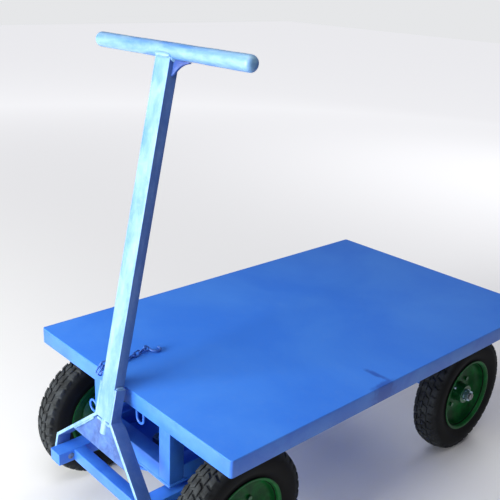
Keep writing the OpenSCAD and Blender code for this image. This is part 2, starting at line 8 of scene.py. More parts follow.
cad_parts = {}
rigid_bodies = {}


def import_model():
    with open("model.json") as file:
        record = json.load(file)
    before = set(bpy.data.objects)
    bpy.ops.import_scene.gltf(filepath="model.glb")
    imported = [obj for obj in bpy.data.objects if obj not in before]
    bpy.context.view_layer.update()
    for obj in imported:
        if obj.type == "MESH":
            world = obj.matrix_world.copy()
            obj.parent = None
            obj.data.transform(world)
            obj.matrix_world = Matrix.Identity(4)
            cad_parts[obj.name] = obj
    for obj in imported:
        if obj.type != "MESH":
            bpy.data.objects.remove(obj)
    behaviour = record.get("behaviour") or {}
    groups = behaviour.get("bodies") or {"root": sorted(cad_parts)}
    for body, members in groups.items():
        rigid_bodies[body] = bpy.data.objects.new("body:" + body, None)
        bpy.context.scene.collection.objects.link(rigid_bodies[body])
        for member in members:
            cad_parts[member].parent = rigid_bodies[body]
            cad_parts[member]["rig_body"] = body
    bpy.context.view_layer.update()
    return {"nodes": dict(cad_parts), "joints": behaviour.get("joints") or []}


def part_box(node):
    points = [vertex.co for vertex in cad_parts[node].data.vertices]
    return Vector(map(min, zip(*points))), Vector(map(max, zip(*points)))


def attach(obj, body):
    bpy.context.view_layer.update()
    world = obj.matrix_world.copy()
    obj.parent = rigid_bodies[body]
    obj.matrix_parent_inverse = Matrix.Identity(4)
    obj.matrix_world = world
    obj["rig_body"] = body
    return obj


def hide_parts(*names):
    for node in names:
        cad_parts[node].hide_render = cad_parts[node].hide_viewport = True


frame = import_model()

# ---- Studio ----
# A lens at standing height off the truck's front right corner. The large key panel stands in
# front, so that every forward face is bright and the right side is dark. The others are weaker:
# one at the front left, one low in front, one high behind and one overhead.
LENS_MM = 55.38
CAMERA_AT = (1.3049, -1.3970, 1.3039)
HEADING, LOOK_DOWN, ROLL = 46.83, 19.88, 2.51

camera = bpy.data.objects.new("camera", bpy.data.cameras.new("camera"))
bpy.context.scene.collection.objects.link(camera)
camera.data.lens = LENS_MM
camera.data.sensor_width = 36
camera.data.clip_end = 60
camera.matrix_world = (
    Matrix.Translation(CAMERA_AT)
    @ Matrix.Rotation(math.radians(HEADING), 4, "Z")
    @ Matrix.Rotation(math.radians(90 - LOOK_DOWN), 4, "X")
    @ Matrix.Rotation(math.radians(ROLL), 4, "Z")
)
bpy.context.scene.camera = camera
bpy.context.scene.view_settings.view_transform = "Standard"


def soft_box(name, place, aim, width, height, watts, tint):
    """A rectangular light panel at a place, turned to face a point."""
    panel = bpy.data.objects.new(name, bpy.data.lights.new(name, "AREA"))
    bpy.context.scene.collection.objects.link(panel)
    panel.data.shape = "RECTANGLE"
    panel.data.size, panel.data.size_y = width, height
    panel.data.energy = watts
    panel.data.color = tint
    panel.location = place
    panel.rotation_euler = (Vector(aim) - Vector(place)).to_track_quat("-Z", "Y").to_euler()


soft_box("key_panel", (-0.7, -4.4, 1.3), (0.0, -0.4, 0.5), 2.6, 2.0, 330, (0.99, 1.0, 0.95))
soft_box("glare_panel", (-3.3, -3.2, 0.9), (0.0, -0.4, 0.7), 1.8, 1.6, 25, (1.0, 1.0, 1.0))
soft_box("low_panel", (0.1, -3.2, 0.35), (0.0, -0.3, 0.3), 1.4, 0.5, 14, (1.0, 1.0, 1.0))
soft_box("back_panel", (-1.0, 3.8, 3.0), (0.0, 0.4, 0.3), 2.4, 2.4, 70, (1.0, 1.0, 1.0))
bpy.data.objects["back_panel"].visible_glossy = False
soft_box("overhead_panel", (0.7, -1.3, 2.8), (0.3, -0.4, 0.4), 1.6, 1.6, 36, (1.0, 1.0, 1.0))

world = bpy.data.worlds.new("pale_room")
bpy.context.scene.world = world
world.use_nodes = True
room = world.node_tree.nodes["Background"]
room.inputs["Color"].default_value = (0.94, 0.88, 1.0, 1)
room.inputs["Strength"].default_value = 0.15


# ---- Floor ----
# A plain pale floor, large enough to fill the view from any side.
FLOOR_SIZE = 30


def linear(hex_colour):
    """An sRGB hex colour as the linear RGBA that a shader takes."""
    channels = [int(hex_colour[i:i + 2], 16) / 255 for i in (1, 3, 5)]
    return [c / 12.92 if c <= 0.04045 else ((c + 0.055) / 1.055) ** 2.4 for c in channels] + [1]


def add_node(tree, kind, values=None, links=None, **settings):
    """Adds a node: settings are its own properties, values go on its sockets, links join it up."""
    node = tree.nodes.new(kind)
    for name, value in settings.items():
        setattr(node, name, value)
    for socket, value in (values or {}).items():
        node.inputs[socket].default_value = value
    for socket, source in (links or {}).items():
        tree.links.new(source, node.inputs[socket])
    return node


bpy.ops.object.select_all(action="DESELECT")
bpy.ops.mesh.primitive_plane_add(size=FLOOR_SIZE)
floor = bpy.context.object
floor.name = "floor"
floor_paint = bpy.data.materials.new("pale_floor_paint")
floor_paint.use_nodes = True
floor_paint.node_tree.nodes["Principled BSDF"].inputs["Base Color"].default_value = linear("#EDEEF0")
floor_paint.node_tree.nodes["Principled BSDF"].inputs["Roughness"].default_value = 0.85
floor.data.materials.append(floor_paint)

# The room as the lens sees it, and the floor far from the lights, are as pale as the lit floor
# by the truck, and neither of them adds to the light on the truck.
PALE = linear("#F7F8FA")

seen_room = add_node(world.node_tree, "ShaderNodeBackground", {"Color": PALE, "Strength": 0.85})
seen = add_node(world.node_tree, "ShaderNodeLightPath").outputs["Is Camera Ray"]
lit_or_seen = add_node(world.node_tree, "ShaderNodeMixShader", None,
                       {0: seen, 1: room.outputs[0], 2: seen_room.outputs[0]})
world.node_tree.links.new(lit_or_seen.outputs[0], world.node_tree.nodes["World Output"].inputs[0])

tree = floor_paint.node_tree
place = add_node(tree, "ShaderNodeTexCoord").outputs["Object"]
out = add_node(tree, "ShaderNodeVectorMath", None, {0: place}, operation="LENGTH").outputs["Value"]
far = add_node(tree, "ShaderNodeMapRange", {"From Min": 0.7, "From Max": 6.0, "To Max": 0.75},
               {"Value": out})
seen = add_node(tree, "ShaderNodeLightPath").outputs["Is Camera Ray"]
lift = add_node(tree, "ShaderNodeMath", None, {0: far.outputs[0], 1: seen}, operation="MULTIPLY")
tree.nodes["Principled BSDF"].inputs["Emission Color"].default_value = PALE
tree.links.new(lift.outputs[0], tree.nodes["Principled BSDF"].inputs["Emission Strength"])


# ---- Blue enamel ----
# The whole frame is brushed and sprayed with one alkyd gloss enamel over mild steel. It is a
# glossy film with orange peel, soft clouds where the coat is thick or thin, and dust. It is
# deep on the deck and frame, and worn thin and pale on the drawbar, where the paleness is
# also a painted glare highlight.
# Pattern sizes are in millimetres. Real orange peel is about 2 mm, and is drawn coarser to show.
MM = 0.001
FROM_METRES = 1000
GRIT, ORANGE_PEEL, SHEET_WAVE = 11, 4, 190


def enamel(name, colour, thin_colour, clouds, roughness, dust, peel, streaks=(1, 1, 1)):
    """A gloss enamel coat: colour where it is thick, thin_colour where it is thin.

    clouds is the size of the thick and thin places in millimetres, dust and peel are from 0 to 1,
    and streaks shrinks the clouds' pattern along an axis, which draws them out that way.
    """
    material = bpy.data.materials.new(name)
    material.use_nodes = True
    tree = material.node_tree
    shader = tree.nodes["Principled BSDF"]
    place = add_node(tree, "ShaderNodeTexCoord").outputs["Object"]
    stretched = add_node(tree, "ShaderNodeMapping", {"Scale": streaks}, {"Vector": place}).outputs[0]
    cloud = add_node(tree, "ShaderNodeTexNoise", {"Scale": FROM_METRES / clouds, "Detail": 5,
                     "Roughness": 0.6, "Distortion": 0.4}, {"Vector": stretched})
    thin = add_node(tree, "ShaderNodeMapRange", {"From Min": 0.38, "From Max": 0.66},
                    {"Value": cloud.outputs["Fac"]})
    film = add_node(tree, "ShaderNodeMix", {6: linear(colour), 7: linear(thin_colour)},
                    {0: thin.outputs[0]}, data_type="RGBA")
    grit = add_node(tree, "ShaderNodeTexNoise",
                    {"Scale": FROM_METRES / GRIT, "Detail": 7, "Roughness": 0.7}, {"Vector": place})
    dusty = add_node(tree, "ShaderNodeMapRange", {"From Min": 0.5, "From Max": 0.78, "To Max": dust},
                     {"Value": grit.outputs["Fac"]})
    dusted = add_node(tree, "ShaderNodeMix", {7: linear("#A9B4C0")},
                      {0: dusty.outputs[0], 6: film.outputs[2]}, data_type="RGBA")
    tree.links.new(dusted.outputs[2], shader.inputs["Base Color"])
    gloss = add_node(tree, "ShaderNodeMapRange", {"To Min": roughness - 0.07, "To Max": roughness + 0.1},
                     {"Value": grit.outputs["Fac"]})
    tree.links.new(gloss.outputs[0], shader.inputs["Roughness"])
    skin = add_node(tree, "ShaderNodeTexNoise", {"Scale": FROM_METRES / ORANGE_PEEL, "Detail": 2},
                    {"Vector": place})
    orange_peel = add_node(tree, "ShaderNodeBump", {"Strength": peel, "Distance": 0.3 * MM},
                           {"Height": skin.outputs["Fac"]})
    swell = add_node(tree, "ShaderNodeTexNoise", {"Scale": FROM_METRES / SHEET_WAVE, "Detail": 1},
                     {"Vector": place})
    wavy_sheet = add_node(tree, "ShaderNodeBump", {"Strength": 0.35, "Distance": 3 * MM},
                          {"Height": swell.outputs["Fac"], "Normal": orange_peel.outputs[0]})
    tree.links.new(wavy_sheet.outputs[0], shader.inputs["Normal"])
    shader.inputs["IOR"].default_value = 1.48
    shader.inputs["Coat Weight"].default_value = 0.12
    shader.inputs["Coat Roughness"].default_value = 0.2
    return material


deck_enamel = enamel("blue_deck_enamel", "#2E74DE", "#3C80E2", 330, 0.52, 0.05, 0.18)
frame_enamel = enamel("blue_frame_enamel", "#2B66CC", "#3C7BD6", 120, 0.42, 0.05, 0.25)
# the drawbar's pale coat is partly thin worn paint and partly a painted glare highlight
drawbar_enamel = enamel("worn_and_glare_drawbar_enamel", "#5888C2", "#80A6C2", 26, 0.36, 0.25, 0.5, (1, 1, 0.35))


# how near two vertices are one, how flat two faces are one, and how far an edge turns to be sharp
SAME_PLACE, FLAT, SHARP = 0.002 * MM, math.radians(0.5), math.radians(35)


def dressed(node, name, material, edge):
    """A copy of a CAD node with merged vertices and its sharp edges rounded, which replaces it."""
    source = frame["nodes"][node]
    piece = bpy.data.objects.new(name, source.data.copy())
    bpy.context.scene.collection.objects.link(piece)
    bpy.ops.object.select_all(action="DESELECT")
    piece.select_set(True)
    bpy.context.view_layer.objects.active = piece
    bpy.ops.object.mode_set(mode="EDIT")
    bpy.ops.mesh.select_all(action="SELECT")
    bpy.ops.mesh.remove_doubles(threshold=SAME_PLACE)
    bpy.ops.mesh.dissolve_limited(angle_limit=FLAT)
    bpy.ops.object.mode_set(mode="OBJECT")
    bpy.ops.object.modifier_add(type="BEVEL")
    rounding = piece.modifiers[-1]
    rounding.width = edge
    rounding.segments = 3
    rounding.limit_method = "ANGLE"
    rounding.angle_limit = SHARP
    bpy.ops.object.modifier_apply(modifier=rounding.name)
    bpy.ops.object.shade_smooth_by_angle(angle=SHARP)
    piece.data.materials.clear()
    piece.data.materials.append(material)
    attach(piece, source["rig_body"])
    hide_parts(node)
    return piece


# ---- Deck sheet ----
# One 3 mm mild steel sheet, guillotined and welded down on the frame from below. Its coat is
# thick and even, with a few rubbed places at the right edge where loads are dragged off.
# each scuff's middle and reach in metres, and its turn in degrees
SCUFFS = [((0.330, -0.052), (0.052, 0.010), 4), ((0.372, -0.075), (0.013, 0.055), 0)]
FRAYED_EDGE = 16

dressed("deck_sheet", "deck_top_sheet", deck_enamel, 0.9 * MM)
for rubbed in (deck_enamel.node_tree, frame_enamel.node_tree):
    place = next(n for n in rubbed.nodes if n.bl_idname == "ShaderNodeTexCoord").outputs["Object"]
    coat = rubbed.nodes["Principled BSDF"].inputs["Base Color"].links[0].from_socket
    fray = add_node(rubbed, "ShaderNodeTexNoise", {"Scale": FROM_METRES / FRAYED_EDGE, "Detail": 5},
                    {"Vector": place})
    for centre, reach, turn in SCUFFS:
        around = add_node(rubbed, "ShaderNodeMapping",
                          {"Location": (centre[0], centre[1], 0), "Rotation": (0, 0, math.radians(turn)),
                           "Scale": (reach[0], reach[1], 1)}, {"Vector": place}, vector_type="TEXTURE")
        flat = add_node(rubbed, "ShaderNodeVectorMath", {1: (1, 1, 0)}, {0: around.outputs[0]},
                        operation="MULTIPLY")
        away = add_node(rubbed, "ShaderNodeVectorMath", None, {0: flat.outputs[0]}, operation="LENGTH")
        frayed = add_node(rubbed, "ShaderNodeMath", None,
                          {0: away.outputs["Value"], 1: fray.outputs["Fac"]}, operation="ADD")
        worn = add_node(rubbed, "ShaderNodeMapRange", {"From Min": 1.6, "From Max": 0.8, "To Max": 0.75},
                        {"Value": frayed.outputs[0]}, interpolation_type="SMOOTHSTEP")
        coat = add_node(rubbed, "ShaderNodeMix", {7: linear("#1D49A8")}, {0: worn.outputs[0], 6: coat},
                        data_type="RGBA").outputs[2]
    rubbed.links.new(coat, rubbed.nodes["Principled BSDF"].inputs["Base Color"])


# ---- Deck frame ----
# Rolled angle, 38 x 40 x 4 mm, mitred round the sheet, with square tube cross members. Rolled
# angle has rounded toes, and the joints are filled with weld and ground flush outside.
for node in ("front_rail", "rear_rail", "left_rail", "right_rail"):
    dressed(node, node + "_angle", frame_enamel, 0.8 * MM)
for node in ("pedestal_cross_members", "middle_cross_member", "rear_cross_member"):
    dressed(node, node + "_tube", frame_enamel, 1.5 * MM)


# ---- Pedestal and turntable ----
# Square tube posts and rails, welded into an open box under the deck's front, over two steel
# plates that turn on each other round the kingpin, with a greased slip ring between them.
for node in ("pedestal_front_posts", "pedestal_rear_posts", "pedestal_front_rail",
             "pedestal_rear_rail", "pedestal_side_rails", "rear_axle_posts"):
    dressed(node, node + "_tube", frame_enamel, 2.0 * MM)
for node in ("upper_turntable_plate", "rear_axle_braces", "turntable_ribs"):
    dressed(node, node + "_cut", frame_enamel, 0.6 * MM)
for node in ("front_axle_beam", "rear_axle_beam", "steering_arm_left", "steering_arm_right",
             "steering_cross_bar"):
    dressed(node, node + "_tube", frame_enamel, 1.6 * MM)


def finish_node(node, material):
    """Gives a CAD node that is shown as it is its material."""
    shown = frame["nodes"][node]
    shown.data.materials.clear()
    shown.data.materials.append(material)


OIL_STAIN = 9


def steel(name, colour, soiled, roughness):
    """Bright or oiled mild steel: turned or rolled, with a brown film of oil and dust."""
    material = bpy.data.materials.new(name)
    material.use_nodes = True
    tree = material.node_tree
    shader = tree.nodes["Principled BSDF"]
    place = add_node(tree, "ShaderNodeTexCoord").outputs["Object"]
    film = add_node(tree, "ShaderNodeTexNoise",
                    {"Scale": FROM_METRES / OIL_STAIN, "Detail": 6, "Roughness": 0.65}, {"Vector": place})
    soil = add_node(tree, "ShaderNodeMapRange", {"From Min": 0.42, "From Max": 0.68},
                    {"Value": film.outputs["Fac"]})
    tone = add_node(tree, "ShaderNodeMix", {6: linear(colour), 7: linear(soiled)}, {0: soil.outputs[0]},
                    data_type="RGBA")
    tree.links.new(tone.outputs[2], shader.inputs["Base Color"])
    dull = add_node(tree, "ShaderNodeMapRange", {"To Min": roughness - 0.08, "To Max": roughness + 0.2},
                    {"Value": soil.outputs[0]})
    tree.links.new(dull.outputs[0], shader.inputs["Roughness"])
    pits = add_node(tree, "ShaderNodeBump", {"Strength": 0.25, "Distance": 0.2 * MM},
                    {"Height": film.outputs["Fac"]})
    tree.links.new(pits.outputs[0], shader.inputs["Normal"])
    shader.inputs["Metallic"].default_value = 0.85
    return material


oiled_steel = steel("oiled_mild_steel", "#8F9398", "#4A4238", 0.38)
for node in ("slip_ring", "kingpin", "kingpin_nut", "front_stub_axles", "rear_stub_axles", "hinge_pins",
             "hinge_washers", "hinge_cotters"):
    finish_node(node, oiled_steel)
for node in ("lower_turntable_plate", "drawbar_hook_eye", "lashing_ring"):
    finish_node(node, frame_enamel)


# ---- Drawbar ----
# A rectangular tube shaft between two flat bars, which are bent out to the steering frame's
# arms, with a web plate in the fork. All of it is stick welded, and the welds are left proud.
# The coat is pale where hands rub it and partly as a painted glare highlight; darker copies on the sides,
# web and handle's corner are painted shade.
# a darker copy of the drawbar's coat for its side faces: painted shade
shaded_side_drawbar_enamel = enamel("painted_shade_drawbar_side_enamel", "#3A5C9E", "#5070AA", 60, 0.48, 0.1, 0.3,
                             (1, 1, 0.35))


def painted_shade_on_sides(piece):
    """The side faces get a darker copy of the drawbar's coat, which is painted shade."""
    piece.data.materials.append(shaded_side_drawbar_enamel)
    for face in piece.data.polygons:
        if abs(face.normal.x) > 0.5:
            face.material_index = 1


painted_shade_on_sides(dressed("drawbar_shaft", "drawbar_shaft_tube", drawbar_enamel, 2.5 * MM))
for side in ("left", "right"):
    leg = dressed(f"drawbar_leg_{side}", f"drawbar_leg_{side}_bar", drawbar_enamel, 1.1 * MM)
    painted_shade_on_sides(leg)
# a deeper, darker coat for the web plate: painted shade where it sits back in the fork
shaded_web_enamel = enamel("painted_shade_web_enamel", "#1A4286", "#3C68B2", 30, 0.5, 0.15, 0.4)
dressed("drawbar_gusset", "drawbar_gusset_plate", shaded_web_enamel, 0.7 * MM)
dressed("drawbar_stub", "drawbar_stub_bar", drawbar_enamel, 0.7 * MM)
# a darker coat for the handle's corner plate: painted shade in the corner under the pipe
shaded_corner_enamel = enamel("painted_shade_corner_enamel", "#22408A", "#2F529C", 40, 0.5, 0.1, 0.3)
dressed("handle_gusset", "handle_gusset_plate", shaded_corner_enamel, 0.6 * MM)


# ---- Handle ----
# Steel pipe across the shaft's head, its ends closed with caps and ground round. The coat is
# rubbed pale by hands, and its pale streaks along the pipe are partly painted highlights. The
# pipe isn't quite true where it was hammered and welded.
CAP_ROUND = 11 * MM
PIPE_SIDES = 40
PIPE_CUTS = 47
WIDE_DENTS, WIDE_DENT_DEPTH = 16, 0.7 * MM      # how many to a metre, and their depth
SMALL_DENTS, SMALL_DENT_DEPTH = 60, 0.2 * MM
UNDERSIZE = 0.02                                # keeps the dented pipe inside the true one

low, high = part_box("handle_caps")
handle_middle = (low + high) / 2
handle_r = (high.z - low.z) / 2
bpy.ops.object.select_all(action="DESELECT")
bpy.ops.mesh.primitive_cylinder_add(vertices=PIPE_SIDES, radius=handle_r, depth=high.x - low.x,
                                    location=handle_middle, rotation=(0, math.pi / 2, 0))
handle = bpy.context.object
handle.name = "handle_pipe_with_caps"
bpy.ops.object.transform_apply(location=True, rotation=True, scale=True)


def pick(piece, kind, test):
    """Selects only the edges or faces of a piece, in edit mode, whose vertices all pass a test."""
    bpy.ops.mesh.select_mode(type=kind)
    bpy.ops.mesh.select_all(action="DESELECT")
    shape = bmesh.from_edit_mesh(piece.data)
    for part in shape.edges if kind == "EDGE" else shape.faces:
        part.select_set(all(test(v.co) for v in part.verts))
    bmesh.update_edit_mesh(piece.data)


bpy.ops.object.mode_set(mode="EDIT")
for end in (low.x, high.x):
    pick(handle, "FACE", lambda co: abs(co.x - end) < MM)
    bpy.ops.mesh.bevel(offset=CAP_ROUND, segments=7, affect="EDGES")
bpy.ops.mesh.select_all(action="DESELECT")
shape = bmesh.from_edit_mesh(handle.data)
for edge in shape.edges:
    edge.select_set(abs(edge.verts[0].co.x - edge.verts[1].co.x) > 100 * MM)
bmesh.update_edit_mesh(handle.data)
bpy.ops.mesh.subdivide(number_cuts=PIPE_CUTS)
bpy.ops.object.mode_set(mode="OBJECT")
for vertex in handle.data.vertices:
    from_axis = Vector((0, vertex.co.y - handle_middle.y, vertex.co.z - handle_middle.z))
    dent = noise.noise(vertex.co * WIDE_DENTS) * WIDE_DENT_DEPTH
    dent += noise.noise(vertex.co * SMALL_DENTS) * SMALL_DENT_DEPTH
    vertex.co += from_axis / handle_r * dent - from_axis * UNDERSIZE
bpy.ops.object.shade_smooth_by_angle(angle=math.radians(50))
# pale streaks drawn out along the pipe: rubbed paint and partly painted highlights
grip_enamel = enamel("hand_worn_and_highlight_grip_enamel", "#4C7CBC", "#80A6C2", 30, 0.4, 0.25, 0.4, (0.3, 1, 1))
handle.data.materials.append(grip_enamel)
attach(handle, "drawbar")
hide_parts("handle_bar", "handle_caps")


# ---- Welds ----
# Stick welds, 5 to 13 mm wide, with the ripple of the pool every 2 to 3 mm. They were sprayed
# over with everything else, so they have the enamel of what they join.
RIPPLE = 2.6 * MM
BEAD_SIDES, RINGS_TO_A_RIPPLE = 8, 3
THINNEST, RIPPLE_DEPTH, LUMP_DEPTH = 0.88, 0.16, 0.22      # shares of the bead's radius
LUMPS = 70                                                 # how many to a metre


def weld(name, points, width, material, body):
    """A bead along a line of points: a grid rolled up into a rippled tube with closed ends."""
    spans = [(Vector(b) - Vector(a)).length for a, b in zip(points, points[1:])]
    rings = max(4, int(sum(spans) / RIPPLE * RINGS_TO_A_RIPPLE))
    bpy.ops.object.select_all(action="DESELECT")
    bpy.ops.mesh.primitive_grid_add(x_subdivisions=BEAD_SIDES, y_subdivisions=rings, size=1)
    bead = bpy.context.object
    bead.name = name
    for vertex in bead.data.vertices:
        around = (vertex.co.x + 0.5) * 2 * math.pi
        along = (vertex.co.y + 0.5) * sum(spans)
        left, i = along, 0
        while i < len(spans) - 1 and left > spans[i]:
            left -= spans[i]
            i += 1
        a, b = Vector(points[i]), Vector(points[i + 1])
        ahead = (b - a).normalized()
        across = ahead.cross(Vector((0.3, -0.5, 0.81))).normalized()
        up = ahead.cross(across)
        middle = a + ahead * left
        at_end = min(1, along / width, (sum(spans) - along) / width)
        radius = width / 2 * math.sqrt(max(0, 1 - (1 - at_end) ** 2))
        radius *= (THINNEST + RIPPLE_DEPTH * abs(math.sin(math.pi * along / RIPPLE))
                   + LUMP_DEPTH * noise.noise(middle * LUMPS))
        vertex.co = middle + across * (radius * math.cos(around)) + up * (radius * math.sin(around))
    bpy.ops.object.mode_set(mode="EDIT")
    bpy.ops.mesh.select_all(action="SELECT")
    bpy.ops.mesh.remove_doubles(threshold=0.02 * MM)
    bpy.ops.mesh.normals_make_consistent(inside=False)
    bpy.ops.object.mode_set(mode="OBJECT")
    bpy.ops.object.shade_smooth()
    bead.data.materials.append(material)
    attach(bead, body)
    return bead


LEAN = math.radians(11.7)
hinge = Vector(next(j for j in frame["joints"] if j["name"] == "drawbar_tilt")["pos_m"])


def up_drawbar(x, back, up):
    """A point given across, behind and up the leaning drawbar from its hinge, in millimetres."""
    return (x * MM, hinge.y + (back * math.cos(LEAN) + up * math.sin(LEAN)) * MM,
            hinge.z + (-back * math.sin(LEAN) + up * math.cos(LEAN)) * MM)


# places on the drawbar in the same millimetres, across, behind and up from the hinge
SHAFT_HALF, SHAFT_FRONT, SHAFT_BACK = 25, -17.5, 7.5
PIPE_AXIS_BACK, HANDLE_UP, PIPE_R = -5, 980, 17
GUSSET_LOW, GUSSET_HIGH, GUSSET_FRONT = 81, 149, -11.5
LEG_TOP, NECK = 240, 160
THROAT, SPREAD = 156.3, 1.185       # where the legs part, and how far out each goes for each mm down


def fork_half(up):
    """Half the clear width between the legs at a height up the drawbar."""
    return SHAFT_HALF + (THROAT - up) * SPREAD


def pipe_under(back):
    """Height up the drawbar of the handle pipe's underside at a depth."""
    return HANDLE_UP - math.sqrt(PIPE_R ** 2 - (back - PIPE_AXIS_BACK) ** 2)


def drawbar_weld(name, places, width):
    """A bead on the drawbar through places given by up_drawbar's three numbers."""
    weld(name, [up_drawbar(*at) for at in places], width * MM, drawbar_enamel, "drawbar")


for s, side in ((-1, "left"), (1, "right")):
    drawbar_weld(f"gusset_{side}_weld", [(s * (fork_half(z) - 1), GUSSET_FRONT - 1, z)
                                         for z in (GUSSET_LOW + 2, GUSSET_HIGH - 6)], 7)
    drawbar_weld(f"neck_{side}_weld", [(s * (SHAFT_HALF + 0.5), SHAFT_FRONT + 1.2, z)
                                       for z in (NECK + 2, LEG_TOP - 2)], 5)
    drawbar_weld(f"leg_top_{side}_weld", [(s * (SHAFT_HALF + 2), y, LEG_TOP + 1)
                                          for y in (SHAFT_FRONT + 2, SHAFT_BACK - 2)], 7)
    drawbar_weld(f"handle_{side}_weld", [(s * (SHAFT_HALF + 0.5), y, pipe_under(y) - 0.5)
                                         for y in (-16.5, -12, -5, 2, 6.5)], 12)
for y, face in ((SHAFT_FRONT, "front"), (SHAFT_BACK, "back")):
    drawbar_weld(f"handle_{face}_weld", [(x, y, pipe_under(y) + 1) for x in (-SHAFT_HALF, SHAFT_HALF)], 13)

# round the foot and the head of each post
for node in ("pedestal_front_posts", "pedestal_rear_posts", "rear_axle_posts"):
    low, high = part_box(node)
    tube = high.y - low.y
    for side, x in (("left", low.x), ("right", high.x - tube)):
        for level, z in (("foot", low.z), ("head", high.z)):
            corners = [(x, low.y, z), (x + tube, low.y, z), (x + tube, high.y, z), (x, high.y, z)]
            weld(f"{node}_{side}_{level}_weld", corners + corners[:1], 6 * MM, frame_enamel,
                 frame["nodes"][node]["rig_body"])
drawbar_weld("fork_throat_weld", [(x, GUSSET_FRONT - 1, GUSSET_HIGH + 2) for x in (-28, 28)], 8)


# ---- Tyres ----
# Pneumatic industrial tyres, 350 mm over the tread, moulded in black natural rubber. The tread
# is staggered blocks about 20 mm long and 5 mm deep, grey with dust, over a dark sidewall.
TREAD_ROWS = 160
BLOCK_ROWS = 4
TREAD_DEPTH = 5 * MM
CROWN_R = 70 * MM
SIDE_R = 39 * MM
WALL = 6 * MM
INSIDE_SHARE = 0.78                             # of the outside's width
TREAD_XS = [1.4, 7.5, 14, 18, 24, 29.5]         # out from the centre plane, in millimetres
BLOCK_COLUMNS = [(TREAD_XS[0], TREAD_XS[2]), (TREAD_XS[3], 36)]
BEAD_X, BEAD_RS = 32.6, (112, 105, 100)         # where the tyre grips the rim
GROOVE_SLANT = math.radians(5.5)
SLANT_REACH = 30 * MM
SHOULDER, FADE = 12 * MM, 18 * MM               # up from the sidewall's middle

low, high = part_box("tyre_front_right")
tyre_r = (high.z - low.z) / 2
side_middle = tyre_r - SIDE_R


def crown(x):
    """Radius of the carcass under the tread, at a distance from the centre plane."""
    return tyre_r - TREAD_DEPTH - CROWN_R + math.sqrt(CROWN_R ** 2 - x ** 2)


right_side = [Vector((x * MM, 0, crown(x * MM))) for x in TREAD_XS]
right_side += [Vector((SIDE_R * math.cos(a), 0, side_middle + SIDE_R * math.sin(a)))
               for a in [math.radians(d) for d in range(36, -28, -9)]]
right_side += [Vector((BEAD_X * MM, 0, r * MM)) for r in BEAD_RS]
left_side = [Vector((-p.x, 0, p.z)) for p in reversed(right_side)]
outside = left_side + right_side
outline = outside + [Vector((p.x * INSIDE_SHARE, 0, p.z - WALL)) for p in reversed(outside)]


def spun(name, outline, steps):
    """A closed outline, given along and out from the X axis, spun round that axis. In edit mode."""
    bpy.ops.object.select_all(action="DESELECT")
    bpy.ops.mesh.primitive_circle_add(vertices=len(outline), radius=SIDE_R)
    piece = bpy.context.object
    piece.name = name
    for vertex, point in zip(piece.data.vertices, outline):
        vertex.co = point
    bpy.ops.object.mode_set(mode="EDIT")
    bpy.ops.mesh.select_all(action="SELECT")
    bpy.ops.mesh.spin(steps=steps, angle=2 * math.pi, center=(0, 0, 0), axis=(1, 0, 0))
    bpy.ops.mesh.select_all(action="SELECT")
    bpy.ops.mesh.remove_doubles(threshold=0.01 * MM)
    bpy.ops.mesh.normals_make_consistent(inside=False)
    return piece


tyre = spun("tyre_mould", outline, TREAD_ROWS)

# the blocks: every fourth row is a groove, and each column starts two rows after its neighbour
shape = bmesh.from_edit_mesh(tyre.data)
bpy.ops.mesh.select_mode(type="FACE")
bpy.ops.mesh.select_all(action="DESELECT")
for face in shape.faces:
    middle = face.calc_center_median()
    radius = math.hypot(middle.y, middle.z)
    x = abs(middle.x) / MM
    if radius < crown(min(abs(middle.x), CROWN_R / 2)) - 2 * MM:
        continue
    columns = [i for i, (inner, outer) in enumerate(BLOCK_COLUMNS) if inner < x < outer]
    if not columns:
        continue
    row = int((math.degrees(math.atan2(middle.z, middle.y)) % 360) / 360 * TREAD_ROWS)
    offset = 2 * columns[0] + (1 if middle.x < 0 else 0)
    face.select_set((row + offset) % BLOCK_ROWS != 0)
bmesh.update_edit_mesh(tyre.data)
bpy.ops.mesh.extrude_region()
taller = 1 + TREAD_DEPTH / tyre_r
bpy.ops.transform.resize(value=(1, taller, taller), center_override=(0, 0, 0))
bpy.ops.mesh.select_all(action="SELECT")
bpy.ops.mesh.normals_make_consistent(inside=False)
bpy.ops.object.mode_set(mode="OBJECT")

# the grooves run slantwise, and the shoulders flow into the sidewall
dusty = tyre.data.attributes.new("dust", "FLOAT", "POINT")
for vertex in tyre.data.vertices:
    radius = math.hypot(vertex.co.y, vertex.co.z)
    on_tread = max(0, min(1, (radius - side_middle - SHOULDER) / FADE))
    slant = GROOVE_SLANT * min(1, abs(vertex.co.x) / SLANT_REACH) * on_tread
    vertex.co = Matrix.Rotation(slant, 3, "X") @ vertex.co
    dusty.data[vertex.index].value = on_tread
bpy.ops.object.modifier_add(type="BEVEL")
block_edges = tyre.modifiers[-1]
block_edges.width = 1.1 * MM
block_edges.segments = 2
block_edges.limit_method = "ANGLE"
block_edges.angle_limit = math.radians(50)
bpy.ops.object.modifier_apply(modifier=block_edges.name)
bpy.ops.object.shade_smooth_by_angle(angle=math.radians(40))

# the rubber: matt, nearly black, grey where dust has settled; its grain, under 1 mm on the real
# one, is drawn coarser to show
DUST_PATCH, MOULD_GRAIN = 30, 2.5

